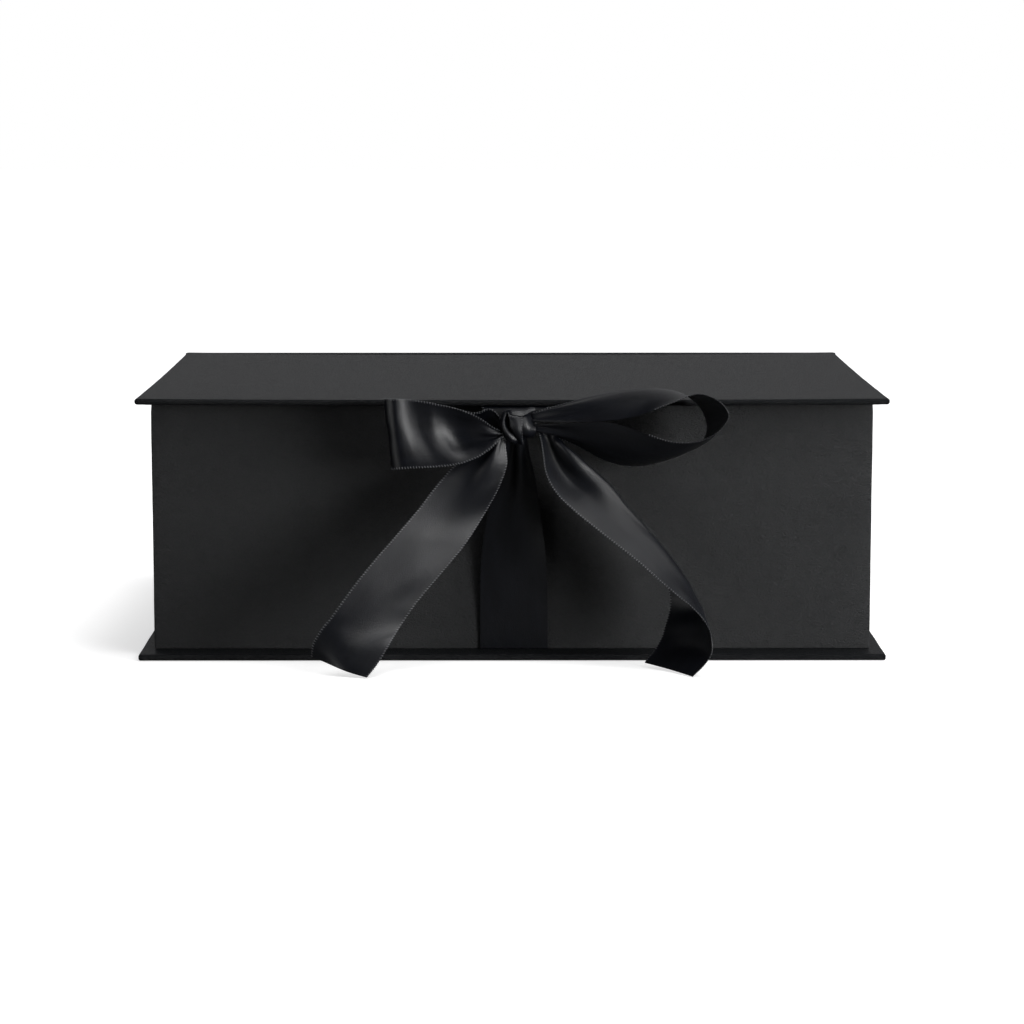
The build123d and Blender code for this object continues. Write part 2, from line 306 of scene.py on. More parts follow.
def tape_material():
    """Brown gummed paper tape."""
    material, tree, shader = node_material("corner_tape")
    k = Nodes(tree)
    fibre = k.noise(k.mapped((60.0, 60.0, 400.0)), 4.0, 5.0, 0.6)
    colour = k.ramp(fibre, [(0.3, (0.3, 0.2, 0.11)), (0.75, (0.5, 0.36, 0.22))])
    k.link(colour, shader.inputs["Base Color"])
    k.link(k.bump(fibre, 0.3, 0.0001), shader.inputs["Normal"])
    shader.inputs["Roughness"].default_value = 0.75
    return material


def satin_material():
    """Black satin: the UV map runs along the ribbon in U and across it in V, both in metres."""
    material, tree, shader = node_material("satin_black")
    k = Nodes(tree)
    grain = k.noise(k.mapped((1700.0, 2600.0, 1.0), "UV"), 1.0, 3.0, 0.7)
    float_threads = k.noise(k.mapped((260.0, 4200.0, 1.0), "UV"), 1.0, 2.0, 0.5)
    slub = k.noise(k.mapped((60.0, 260.0, 1.0), "UV"), 1.0, 4.0, 0.6)
    colour = k.new("ShaderNodeMix", data_type="RGBA")
    k.link(k.remap(k.math("ADD", grain, slub), 0.0, 1.0, 0.75, 1.25), colour.inputs["Factor"])
    colour.inputs["A"].default_value = (0.0005, 0.0008, 0.0020, 1.0)
    colour.inputs["B"].default_value = (0.0030, 0.0037, 0.0064, 1.0)
    k.link(colour.outputs["Result"], shader.inputs["Base Color"])
    first = k.bump(grain, 0.8, 0.0001)
    second = k.bump(float_threads, 0.4, 0.00004, first)
    k.link(k.bump(slub, 0.3, 0.00015, second), shader.inputs["Normal"])
    k.link(k.remap(grain, 0.34, 0.46, 0.3, 0.7), shader.inputs["Roughness"])
    shader.inputs["Specular IOR Level"].default_value = 0.4
    shader.inputs["Anisotropic"].default_value = 0.5
    shader.inputs["Anisotropic Rotation"].default_value = 0.25
    tangent = k.new("ShaderNodeTangent", direction_type="UV_MAP", uv_map="ribbon")
    k.link(tangent.outputs["Tangent"], shader.inputs["Tangent"])
    return material


def stitch_material():
    """The ribbon's woven edge threads, coloured lighter than its satin: a painted highlight for the light the
    raised threads catch.
    """
    material, tree, shader = node_material("selvedge_thread")
    k = Nodes(tree)
    twist = k.noise(k.mapped((900.0, 900.0, 900.0)), 2.0, 3.0, 0.6)
    # The threads' light grey is a painted highlight.
    colour = k.ramp(twist, [(0.3, (0.07, 0.073, 0.08)), (0.7, (0.16, 0.162, 0.17))])
    k.link(colour, shader.inputs["Base Color"])
    k.link(k.bump(twist, 0.4, 0.00005), shader.inputs["Normal"])
    shader.inputs["Roughness"].default_value = 0.55
    return material


studio()
# The case's paper is its own black plus painted shade: it is made far darker than the tray's paper so that
# the base's front and the lid's lower front edge come out dark.
case_paper = paper_material("case_paper", 0.0042, 0.4, 3.0, 0.6, 0.42, 0.2)
tray_paper = paper_material("tray_paper", 0.027, 0.05, 1.0, 1.0, 0.62, 0.25)
lining_paper = paper_material("lining_paper", 0.027, 0.02, 1.0, 0.05, 0.72, 0.25)
greyboard = board_material()
corner_tape = tape_material()
satin = satin_material()
thread = stitch_material()


# --- mesh helpers ---------------------------------------------------------
def make_object(name, verts_mm, faces, material, smooth_angle=40.0):
    mesh = bpy.data.meshes.new(name)
    mesh.from_pydata([tuple(v) for v in np.asarray(verts_mm) * MM], [], faces)
    mesh.validate()
    bm = bmesh.new()
    bm.from_mesh(mesh)
    bmesh.ops.recalc_face_normals(bm, faces=bm.faces)
    bm.to_mesh(mesh)
    bm.free()
    for polygon in mesh.polygons:
        polygon.use_smooth = True
    mesh.set_sharp_from_angle(angle=math.radians(smooth_angle))
    mesh.materials.append(material)
    piece = bpy.data.objects.new(name, mesh)
    bpy.context.scene.collection.objects.link(piece)
    return piece


def spaced(lo, hi, step, radius, arc=4):
    """Coordinates from lo to hi, close together within a rounded edge of that radius at both ends."""
    curve = [radius * (1 - math.tan(math.pi / 4 * i / arc)) for i in range(arc, -1, -1)]
    inner = np.linspace(lo + radius, hi - radius, max(2, int(round((hi - lo - 2 * radius) / step)) + 1))
    start = [lo + c for c in curve[:-1]]
    end = [hi - c for c in reversed(curve[:-1])]
    return np.array(start + list(inner) + end)


def soft_box(lo, hi, step, radius):
    """A closed box with rounded edges: its vertices and its quads."""
    axes = [spaced(lo[i], hi[i], step[i], radius) for i in range(3)]
    index, verts, quads = {}, [], []

    def vertex(i, j, k):
        key = (i, j, k)
        if key not in index:
            point = np.array([axes[0][i], axes[1][j], axes[2][k]])
            core = np.clip(point, np.array(lo) + radius, np.array(hi) - radius)
            away = point - core
            length = np.linalg.norm(away)
            if length > 0:
                point = core + away * (radius / length)
            index[key] = len(verts)
            verts.append(point)
        return index[key]

    counts = [len(a) for a in axes]
    for axis in range(3):
        u, v = [a for a in range(3) if a != axis]
        for end in (0, counts[axis] - 1):
            for i in range(counts[u] - 1):
                for j in range(counts[v] - 1):
                    ring = []
                    for a, b in ((i, j), (i + 1, j), (i + 1, j + 1), (i, j + 1)):
                        key = [0, 0, 0]
                        key[axis], key[u], key[v] = end, a, b
                        ring.append(vertex(*key))
                    quads.append(ring)
    return np.array(verts), quads


def ripple(point, size, seed):
    """Smooth noise from -1 to 1 with features about that many millimetres across."""
    return noise.noise(Vector((point[0] / size + seed, point[1] / size, point[2] / size)))


def thicken(piece, thickness):
    """Gives an open paper skin its thickness, inwards."""
    modifier = piece.modifiers.new("thickness", "SOLIDIFY")
    modifier.thickness = thickness * MM
    modifier.offset = -1.0
    modifier.use_even_offset = True
    graph = bpy.context.evaluated_depsgraph_get()
    mesh = bpy.data.meshes.new_from_object(piece.evaluated_get(graph))
    piece.modifiers.clear()
    piece.data = mesh
    return piece


EDGE_SOFT = 1.5  # how far in from an edge its paper ripples
CORNER_SOFT = 2.6  # how far from a corner its folded paper draws in
CORNER_DENT = 0.18
FRONT_RIPPLE, SIDE_RIPPLE = 0.13, 0.11


def wrapped_panel(name, lo, hi, window_side, material, warp, radius, undercut=0.0, back_open=False):
    """Paper over a board: rounded edges, turned in on one side, where a window is left over the board."""
    verts, quads = soft_box(lo, hi, (4.0, 4.0, 0.8), radius)
    middle = (np.array(lo) + np.array(hi)) / 2
    face_z = hi[2] if window_side > 0 else lo[2]
    kept = []
    for quad in quads:
        centre = verts[quad].mean(axis=0)
        inside = abs(centre[2] - face_z) < 0.01
        inside = inside and abs(centre[0] - middle[0]) < (hi[0] - lo[0]) / 2 - TURN_IN
        inside = inside and lo[1] + TURN_IN < centre[1] < hi[1] - (1.0 if back_open else TURN_IN)
        if not inside:
            kept.append(quad)
    moved = []
    for v in verts:
        from_side = min(v[0] - lo[0], hi[0] - v[0])
        near_front = math.exp(-((v[1] - lo[1]) / EDGE_SOFT) ** 2)
        near_side = math.exp(-(from_side / EDGE_SOFT) ** 2)
        fold = math.exp(-(from_side / CORNER_SOFT) ** 2) * near_front
        edge = FRONT_RIPPLE * ripple((v[0], 0, 0), 17.0, 3.1)
        edge = edge + undercut * (1 - (v[2] - lo[2]) / (hi[2] - lo[2]))
        side = SIDE_RIPPLE * ripple((0, v[1], 0), 15.0, 7.7) * (1 if v[0] > middle[0] else -1)
        moved.append((v[0] + near_side * side, v[1] + near_front * edge - CORNER_DENT * fold, v[2] + warp(v)))
    piece = make_object(name, np.array(moved), kept, material)
    return thicken(piece, PAPER)


# --- case and tray --------------------------------------------------------
case_half = lid_hi[0]
case_half_depth = spine_hi[1]
CORNER_LIFT = 0.5
UNDERCUT = 0.75  # the lid's front edge leans back by this much at its foot


def lid_warp(v):
    """The lid's corners lift a little; its middle lies flat on the tray."""
    side = abs(v[0]) / case_half
    end = abs(v[1]) / case_half_depth
    return CORNER_LIFT * side**3 * end**2


def no_warp(v):
    return 0.0


def stand_in(piece, body, node):
    """Rides the piece on a body, in place of a CAD node."""
    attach(piece, body)
    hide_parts(node)


def add_case():
    """The lid, base and spine in their paper, with the lid's board and lining."""
    lid = wrapped_panel("lid_paper_skin", lid_lo, lid_hi, -1, case_paper, lid_warp, 1.0, UNDERCUT)
    stand_in(lid, "lid", "lid_wrap")

    board_lo, board_hi = lo_hi("lid_board")
    board_lo, board_hi = board_lo + (0.1, UNDERCUT, 0.02), board_hi - (0.1, 0.05, 0.02)
    verts, quads = soft_box(board_lo, board_hi, (5.0, 5.0, 0.9), 0.8)
    verts = np.array([(v[0], v[1], v[2] + lid_warp(v)) for v in verts])
    lid_board = make_object("lid_greyboard", verts, quads, greyboard)
    stand_in(lid_board, "lid", "lid_board")

    verts, quads = soft_box(lining_lo, lining_hi, (5.0, 5.0, 0.2), 0.08)
    verts = np.array([(v[0], v[1], v[2] + lid_warp(v)) for v in verts])
    lining = make_object("lid_lining_sheet", verts, quads, lining_paper)
    stand_in(lining, "lid", "lid_lining")

    base = wrapped_panel("base_paper_skin", base_lo, base_hi, 1, case_paper, no_warp, 0.75, back_open=True)
    stand_in(base, "base", "base_wrap")

    verts, quads = soft_box(spine_lo, spine_hi, (4.0, 0.8, 4.0), 0.6)
    swell = 0.1
    shaped = []
    for v in verts:
        out = swell * ripple((v[0], 0, v[2]), 22.0, 5.3) if v[1] > spine_hi[1] - 0.7 else 0.0
        shaped.append((v[0], v[1] + out - swell, v[2]))
    spine = make_object("spine_paper_skin", np.array(shaped), quads, case_paper)
    stand_in(spine, "base", "spine_wrap")


def rounded_rectangle(half_x, y0, y1, radius, step, arc=5):
    """Points round a rectangle, anticlockwise, each with its outward normal."""
    corners = [
        (half_x - radius, y0 + radius, -90),
        (half_x - radius, y1 - radius, 0),
        (-half_x + radius, y1 - radius, 90),
        (-half_x + radius, y0 + radius, 180),
    ]
    points = []
    for n, (cx, cy, start) in enumerate(corners):
        for i in range(arc + 1):
            angle = math.radians(start + 90 * i / arc)
            across, up = math.cos(angle), math.sin(angle)
            points.append((cx + radius * across, cy + radius * up, across, up))
        nx, ny = corners[(n + 1) % 4][:2]
        angle = math.radians(start + 90)
        out = (math.cos(angle), math.sin(angle))
        begin = np.array([cx + radius * out[0], cy + radius * out[1]])
        end = np.array([nx + radius * out[0], ny + radius * out[1]])
        count = int(np.linalg.norm(end - begin) / step)
        for i in range(1, count):
            p = begin + (end - begin) * i / count
            points.append((p[0], p[1], *out))
    return points


TRAY_CORNER = 0.35  # radius of the tray's upright corners
FOLD_RADIUS = 0.5  # radius of the paper over the rim and at the foot
TRAY_SWELL, TRAY_WAVE, TRAY_DIMPLE = 0.13, 0.10, 0.05  # how the paper stands off the wall


def add_tray():
    """One sheet of paper over the tray's walls: turned under at the foot, over the rim and down inside."""
    wall = PAPER + BOARD + PAPER
    floor_z = lo_hi("tray_floor_board")[1][2]
    bottom, rim = tray_lo[2], tray_hi[2]
    soft = FOLD_RADIUS
    quarter = [math.radians(90 * i / 4) for i in range(5)]
    profile = [(TURN_IN, bottom), (2.0, bottom)]
    profile += [(soft * (1 - math.sin(a)), bottom + soft * (1 - math.cos(a))) for a in quarter]
    profile += [(0.0, z) for z in np.linspace(bottom + soft, rim - soft, 36)[1:-1]]
    profile += [(soft * (1 - math.cos(a)), rim - soft * (1 - math.sin(a))) for a in quarter]
    profile += [(wall - soft * (1 - math.sin(a)), rim - soft * (1 - math.cos(a))) for a in quarter]
    profile += [(wall, z) for z in np.linspace(rim - soft, floor_z, 20)[1:]]
    profile += [(wall - PAPER, floor_z), (wall - PAPER, rim - PAPER), (PAPER, rim - PAPER)]
    profile += [(PAPER, bottom + PAPER), (TURN_IN, bottom + PAPER)]
    ring = rounded_rectangle(tray_hi[0], tray_lo[1], tray_hi[1], TRAY_CORNER, 3.0)
    verts, faces = [], []
    for x, y, nx, ny in ring:
        for inset, z in profile:
            px, py = x - nx * inset, y - ny * inset
            limit_x = tray_hi[0] - inset
            px = min(max(px, -limit_x), limit_x)
            py = min(max(py, tray_lo[1] + inset), tray_hi[1] - inset)
            if inset == 0.0 and bottom + 2 < z < rim - 2:
                out = TRAY_SWELL + TRAY_WAVE * ripple((x, y, z), 26.0, 1.9)
                out = out + TRAY_DIMPLE * ripple((x, y, z), 7.0, 4.4)
                px, py = px + nx * out, py + ny * out
            verts.append((px, py, z))
    m, count = len(profile), len(ring)
    for i in range(count):
        for j in range(m):
            a, b = i * m + j, i * m + (j + 1) % m
            c, d = ((i + 1) % count) * m + (j + 1) % m, ((i + 1) % count) * m + j
            faces.append((a, b, c, d))
    tray = make_object("tray_paper_skin", verts, faces, tray_paper, 50.0)
    stand_in(tray, "base", "tray_wrap")


def bent_strip(name, path, half_x, thickness, material):
    """A strip along X whose section follows a path of (y, z) points, closed, with real thickness."""
    path = np.array(path)
    along = np.gradient(path, axis=0)
    along /= np.linalg.norm(along, axis=1)[:, None]
    inward = np.stack([-along[:, 1], along[:, 0]], axis=1)
    section = list(path) + list((path + inward * thickness)[::-1])
    xs = np.linspace(-half_x, half_x, 71)
    verts = [(x, y, z) for x in xs for y, z in section]
    m, half = len(section), len(path)
    faces = []
    for i in range(len(xs) - 1):
        here, following = i * m, (i + 1) * m
        for j in range(m):
            after = (j + 1) % m
            faces.append((here + j, here + after, following + after, following + j))
    for first in (0, (len(xs) - 1) * m):
        faces += [(first + j, first + j + 1, first + m - 2 - j, first + m - 1 - j) for j in range(half - 1)]
    piece = make_object(name, verts, faces, material)
    return piece


PROUD = 0.05  # how far the hinge's papers lie above their neighbours
HINGE_RADIUS = 2.2  # of the paper's outer bend
EDGE_CAP = 7.0  # how far the paper over the spine board's top reaches down


def add_hinge_skin(top, back):
    """The case's paper where it bends from the lid into the spine."""
    centre_y, centre_z = back - HINGE_RADIUS, top + PROUD - HINGE_RADIUS
    outer = [(lid_hi[1] - 5.0, top + PROUD), (lid_hi[1] - 2.5, top + PROUD)]
    for i in range(9):
        angle = math.radians(90 - 90 * i / 8)
        outer.append((centre_y + HINGE_RADIUS * math.cos(angle), centre_z + HINGE_RADIUS * math.sin(angle)))
    outer += [(back, spine_hi[2] + 0.5), (back, spine_hi[2] - 3.0)]
    skin = bent_strip("hinge_paper_skin", outer, case_half, PAPER, case_paper)
    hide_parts("hinge_wrap")
    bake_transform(skin)


def add_spine_edge(back):
    """The case's paper over the top edge of the spine board, seen with the lid open."""
    board_lo, board_hi = lo_hi("spine_board")
    edge_lo = (-case_half + 0.02, board_lo[1] - 0.12, board_hi[2] - EDGE_CAP)
    edge_hi = (case_half - 0.02, back - 0.02, board_hi[2] + 0.15)
    verts, quads = soft_box(edge_lo, edge_hi, (4.0, 0.8, 2.0), 0.15)
    edge = make_object("spine_edge_paper", verts, quads, case_paper)
    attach(edge, "base")


def add_hinge_lining():
    """The smooth paper inside the spine, which carries on to the lid's underside."""
    strip_lo, strip_hi = lo_hi("hinge_lining")
    back, top = strip_lo[1] + PAPER, strip_hi[2]
    inner = [(back - 6.0, top + PROUD), (back - 4.0, top + PROUD), (back - 2.0, top)]
    inner += [(back - 0.7, top - 0.1), (back - 0.1, top - 0.6), (back, top - 2.0)]
    inner += [(back, top - 6.0), (back, tray_lo[2] + 1.0)]
    half_x, thickness = tray_hi[0] - 0.5, PAPER * 0.8
    lining = bent_strip("hinge_lining_sheet", inner, half_x, thickness, lining_paper)
    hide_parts("hinge_lining")
    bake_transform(lining)


def add_hinge():
    """Paper that bends where the lid meets the spine, outside and inside."""
    add_hinge_skin(lid_hi[2], spine_hi[1])
    add_spine_edge(spine_hi[1])
    add_hinge_lining()


def dress_boards():
    """Materials for the CAD pieces that keep their own shape."""
    looks = {
        "greyboard": greyboard,
        "corner_tape": corner_tape,
        "lining_paper": lining_paper,
        "satin_ribbon": satin,
    }
    slots = {part["node"]: part["material_slot"] for part in frame["record"]["subparts"]}
    for name, slot in slots.items():
        if slot in looks:
            node = nodes[name]
            node.data.materials.clear()
            node.data.materials.append(looks[slot])


# --- ribbon ---------------------------------------------------------------
SATIN_THICK = 0.2
KNOT_THICK = 0.35
STITCH_PITCH = 1.05
STITCH_INSET = 0.2
WHOLE = (0.0, 1.0)  # the part of an edge that shows stitches
stitches = []  # (place, across, normal) of every edge stitch of the bow


def smooth_rows(values, knots, at):
    """A smooth cubic through the rows of values, placed at knots, read at the places given."""
    values = np.asarray(values, float)
    slopes = np.gradient(values, knots, axis=0)
    out = []
    for t in at:
        i = min(max(np.searchsorted(knots, t) - 1, 0), len(knots) - 2)
        h = knots[i + 1] - knots[i]
        s = (t - knots[i]) / h
        a, b, c = 2 * s**3 - 3 * s**2 + 1, s**3 - 2 * s**2 + s, s**3 - s**2
        out.append(a * values[i] + b * h * slopes[i] + (1 - a) * values[i + 1] + c * h * slopes[i + 1])
    return np.array(out)


def smooth_grid(rows, per_mm=1.1, columns=27):
    """A fine grid of points through a coarse one: rows along the ribbon, a few points across in each."""
    rows = np.array(rows, float)
    steps = np.linalg.norm(np.diff(rows, axis=0), axis=2).mean(axis=1)
    knots = np.concatenate([[0], np.cumsum(steps)])
    at = np.linspace(0, knots[-1], max(6, int(knots[-1] * per_mm)))
    long = smooth_rows(rows.reshape(len(rows), -1), knots, at).reshape(len(at), rows.shape[1], 3)
    across = np.arange(rows.shape[1], dtype=float)
    turned = long.transpose(1, 0, 2).reshape(rows.shape[1], -1)
    wide = smooth_rows(turned, across, np.linspace(0, across[-1], columns))
    return wide.reshape(columns, len(at), 3).transpose(1, 0, 2), at / knots[-1]


def skin_normals(grid):
    skin = np.cross(np.gradient(grid, axis=0), np.gradient(grid, axis=1))
    return skin / (np.linalg.norm(skin, axis=2)[:, :, None] + 1e-12)


def run_length(line):
    """The distance along a line of points, at each of them."""
    return np.concatenate([[0], np.cumsum(np.linalg.norm(np.diff(line, axis=0), axis=1))])


def even_columns(grid):
    """The same surface with its points spread evenly across each row."""
    out = np.empty_like(grid)
    for i, row in enumerate(grid):
        run = run_length(row)
        even = np.linspace(0, run[-1], len(row))
        out[i] = np.stack([np.interp(even, run, row[:, axis]) for axis in range(3)], axis=1)
    return out


def gathered(grid, place, start, end, depth, waves, phase):
    """The grid with small pleats that grow from start to end, places along the ribbon from 0 to 1."""
    v = np.linspace(0, 1, grid.shape[1])
    fade = np.clip((place - start) / (end - start), 0, 1)
    fade = fade * fade * (3 - 2 * fade)
    wave = np.sin(2 * np.pi * (waves * v + phase)) * np.sin(np.pi * v) ** 0.5
    return grid + skin_normals(grid) * (depth * fade[:, None] * wave[None, :])[:, :, None]


def closed_faces(count, columns):
    """Faces of a sheet with a front, a rear and a rim, each of its sides count rows by columns points."""
    total = count * columns
    faces = []
    for i in range(count - 1):
        for j in range(columns - 1):
            a = i * columns + j
            faces.append((a, a + 1, a + columns + 1, a + columns))
            faces.append((total + a, total + a + columns, total + a + columns + 1, total + a + 1))
    rim = [i * columns for i in range(count)]
    rim += [(count - 1) * columns + j for j in range(1, columns)]
    rim += [i * columns + columns - 1 for i in range(count - 2, -1, -1)]
    rim += [j for j in range(columns - 2, 0, -1)]
    for a, b in zip(rim, rim[1:] + rim[:1]):
        faces.append((a, b, total + b, total + a))
    return faces


def edge_stitches(grid, skin, edge, inside, wanted):
    """Stitches along the wanted part of one edge column; inside is the column next to it."""
    line = grid[:, edge]
    run = run_length(line)
    found = []
    for spot in np.arange(STITCH_PITCH / 2 + wanted[0] * run[-1], wanted[1] * run[-1], STITCH_PITCH):
        point = np.array([np.interp(spot, run, line[:, axis]) for axis in range(3)])
        i = min(np.searchsorted(run, spot), len(grid) - 1)
        inward = grid[i, inside] - grid[i, edge]
        inward /= np.linalg.norm(inward) + 1e-12
        found.append((point + inward * STITCH_INSET, inward, skin[i, edge]))
    return found


def strip(rows, gathers=(), columns=27, per_mm=1.1, thick=SATIN_THICK, sewn=(WHOLE, WHOLE), into=stitches):
    """One stretch of ribbon through rows of points: its vertices, faces, UV and length.

    gathers are (start, end, depth, waves, phase). The stitches on each edge's sewn part go into a list.
    """
    grid, place = smooth_grid(rows, per_mm, columns)
    grid = even_columns(grid)
    for gather in gathers:
        grid = gathered(grid, place, *gather)
    skin = skin_normals(grid)
    front, rear = grid + skin * thick / 2, grid - skin * thick / 2
    verts = np.concatenate([front.reshape(-1, 3), rear.reshape(-1, 3)])
    length = run_length(grid.mean(axis=1))
    across = np.linalg.norm(np.diff(grid, axis=1), axis=2).sum(axis=1).max() * np.linspace(0, 1, columns)
    coordinates = [(u, v) for u in length for v in across] * 2
    for edge, inside, wanted in ((0, 1, sewn[0]), (columns - 1, columns - 2, sewn[1])):
        if wanted:
            into += edge_stitches(grid, skin, edge, inside, wanted)
    return verts, closed_faces(len(grid), columns), coordinates, length[-1]


def satin_piece(name, parts):
    """One object from the meshes of one or more strips."""
    verts, faces, coordinates = [], [], []
    for part_verts, part_faces, part_coordinates, _ in parts:
        start = len(verts)
        verts += list(part_verts)
        faces += [tuple(start + i for i in face) for face in part_faces]
        coordinates += part_coordinates
    piece = make_object(name, verts, faces, satin, 60.0)
    layer = piece.data.uv_layers.new(name="ribbon")
    for loop in piece.data.loops:
        u, v = coordinates[loop.vertex_index]
        layer.data[loop.index].uv = (u * MM, v * MM)
    return piece


def sew_edges(name, places, body):
    """Small raised threads across the ribbon's two woven edges."""
    half_long, half_wide, half_thick = 0.52, 0.18, SATIN_THICK / 2 + 0.1
    ball = []
    for tilt in (-50, 0, 50):
        for turn in range(6):
            a, b = math.radians(tilt), math.radians(60 * turn)
            ball.append((math.sin(a), math.cos(a) * math.cos(b), math.cos(a) * math.sin(b)))
    ball += [(-1, 0, 0), (1, 0, 0)]
    faces = []
    for ring in (0, 6):
        faces += [(ring + i, ring + (i + 1) % 6, ring + 6 + (i + 1) % 6, ring + 6 + i) for i in range(6)]
    faces += [(18, (i + 1) % 6, i) for i in range(6)] + [(19, 12 + i, 12 + (i + 1) % 6) for i in range(6)]
    verts, all_faces = [], []
    for place, across, up in places:
        along = np.cross(up, across)
        start = len(verts)
        for a, b, c in ball:
            verts.append(place + across * a * half_long + along * b * half_wide + up * c * half_thick)
        all_faces += [tuple(start + i for i in face) for face in faces]
    piece = make_object(name, verts, all_faces, thread, 80.0)
    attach(piece, body)
    return piece


def ribbon_piece(name, rows, node, held, rests_on=(), body="base", with_pieces=(), **kwargs):
    """A stretch of ribbon that stands for a CAD node."""
    part = strip(rows, **kwargs)
    piece = satin_piece(name, [part])
    stand_in(piece, body, node)
    print(f"{name}: {part[3]:.0f} mm long")
    return piece


def bowed(left, right, out):
    """Five points from one edge to the other that bulge by the vector out at the middle."""
    left, right, out = (np.array(p, float) for p in (left, right, out))
    return [left * (1 - t) + right * t + out * math.sin(math.pi * t) for t in np.linspace(0, 1, 5)]


add_case()
add_tray()
add_hinge()
dress_boards()

# Rows of points across the ribbon, from the knot to the cut end; the left edge first.
left_tail = [
    [(-5.5, -105, 86.3), (-4.5, -105.8, 86.4), (-3.5, -105.8, 86.4), (-2.5, -105, 85.9)],
    [(-11.5, -104, 79.8), (-8.5, -106.4, 80.1), (-5.5, -107.6, 81), (-2.5, -105.4, 81.5)],
    [(-20, -105.5, 75.2), (-14, -107, 74.3), (-7.5, -108.6, 75.2), (-2, -105.6, 75.2)],
    [(-26.5, -108.8, 68.9), (-18.5, -108.8, 66.7), (-11, -108.8, 67), (-4, -106, 68.5)],
    [(-34.5, -113.5, 59.1), (-26.5, -112, 56.7), (-18, -109.8, 56), (-10, -106.4, 57)],
    [(-42.5, -118.5, 50.2), (-34.5, -116.6, 48.1), (-26.5, -113.8, 46.2), (-17.5, -110.4, 45.7)],
    [(-51, -123, 40.9), (-43, -120.9, 37.6), (-34.5, -118.1, 35.3), (-26.5, -114.8, 35.2)],
    [(-59.5, -127, 30.5), (-51.5, -124.9, 27.5), (-44.5, -122.3, 25.2), (-36, -119.3, 24.3)],
    [(-66, -129.4, 21.6), (-59.5, -127.9, 18.8), (-51.5, -125.8, 16.2), (-42.5, -123.2, 15)],
    [(-70.5, -129.8, 15.8), (-64.5, -129.6, 13.2), (-57, -129.2, 10.1), (-46, -128.8, 9.7)],
    [(-73, -128.6, 10.8), (-67.5, -129.6, 8.4), (-60.5, -130.8, 5.6), (-49.5, -132.2, 4.4)],
    [(-73.5, -127.2, 6.8), (-67, -129.6, 4.3), (-60.5, -132.2, 2), (-53, -134.9, 0.3)],
]

# Only the near edge of this one shows from the front; the far edge is curled in behind it until the cut end.
right_tail = [
    [(9.5, -104, 87.3), (10.5, -104.5, 87.3), (12, -104.5, 87), (13.5, -104.5, 86.5), (13, -101, 84.7)],
    [(10.5, -107, 83.9), (13, -104, 84.3), (15, -105, 85.1), (17.5, -105, 84.2), (16, -100, 81.6)],
    [(11.5, -110.5, 77.6), (14.5, -104.5, 80.3), (17, -107.5, 82.8), (20, -106.2, 81.7), (19, -99, 77.4)],
    [(12, -112.5, 73.8), (16, -105, 76.6), (20, -109, 79.7), (23.5, -106.5, 78.9), (22, -98.5, 73.9)],
    [(13.5, -114, 69.6), (18.5, -106, 72.3), (23, -109.5, 75.7), (27, -106.5, 75.7), (25, -98, 69.7)],
    [(16.5, -114.5, 64.8), (22, -107.5, 68), (27, -109, 71.5), (31.5, -106, 71.6), (29, -97.5, 64.8)],
    [(22, -115, 59.3), (27.5, -109.5, 63.4), (32.5, -108.5, 67), (37.5, -105.5, 65.5), (34, -97, 58.7)],
    [(29, -115.5, 53.6), (33.5, -111.5, 57.3), (38.5, -108.5, 60.7), (42.5, -106, 58.7), (39.5, -97, 51.9)],
    [(38, -117, 46.6), (42, -113, 50.1), (46.5, -109, 52.9), (50, -106.9, 50), (46.5, -98, 43.8)],
    [(47, -118.5, 39.6), (50.5, -114.5, 42.9), (54.5, -110.5, 45.1),
     (57, -108.3, 41.6), (53.5, -99.5, 35.7)],
    [(54, -120.5, 33.6), (57, -116.5, 36.3), (60.5, -112.5, 37.7),
     (62.5, -109.6, 34.3), (57.5, -101.5, 30)],
    [(60, -123, 28.8), (62.5, -118.5, 30.9), (65, -114, 31.6), (65.5, -110.4, 28.8), (58.5, -103, 26.8)],
    [(65, -126, 25.1), (67, -121, 26.2), (68.5, -115.5, 25.5), (67, -111.1, 24.1), (59, -104, 23.2)],
    [(69, -129, 21.3), (70, -124, 21.9), (70, -117.5, 21.7), (67, -112.2, 20.6), (58.5, -105.5, 19.3)],
    [(71.5, -131, 17.4), (71.5, -126, 17.6), (69.5, -120, 17.3), (65.5, -114.3, 16.8), (57, -107.5, 14.8)],
    [(72.5, -132, 13.2), (71, -127, 13.2), (68, -121, 12.5), (63.5, -115.4, 12), (55.5, -109.5, 10.4)],
    [(72.5, -132.5, 8.8), (70, -127.5, 8.6), (66.5, -122, 8.2), (61.5, -116.5, 7.7), (53, -111.5, 6.3)],
    [(70, -133, 4.7), (66.5, -128, 4.8), (62.5, -122.5, 4.5), (58, -117.5, 4.5), (50.5, -112.5, 3.6)],
    [(65.5, -133.5, 0.3), (62, -128.5, 0.6), (58, -123, 0.9), (53.5, -118, 1.3), (49, -113.5, 1.7)],
]

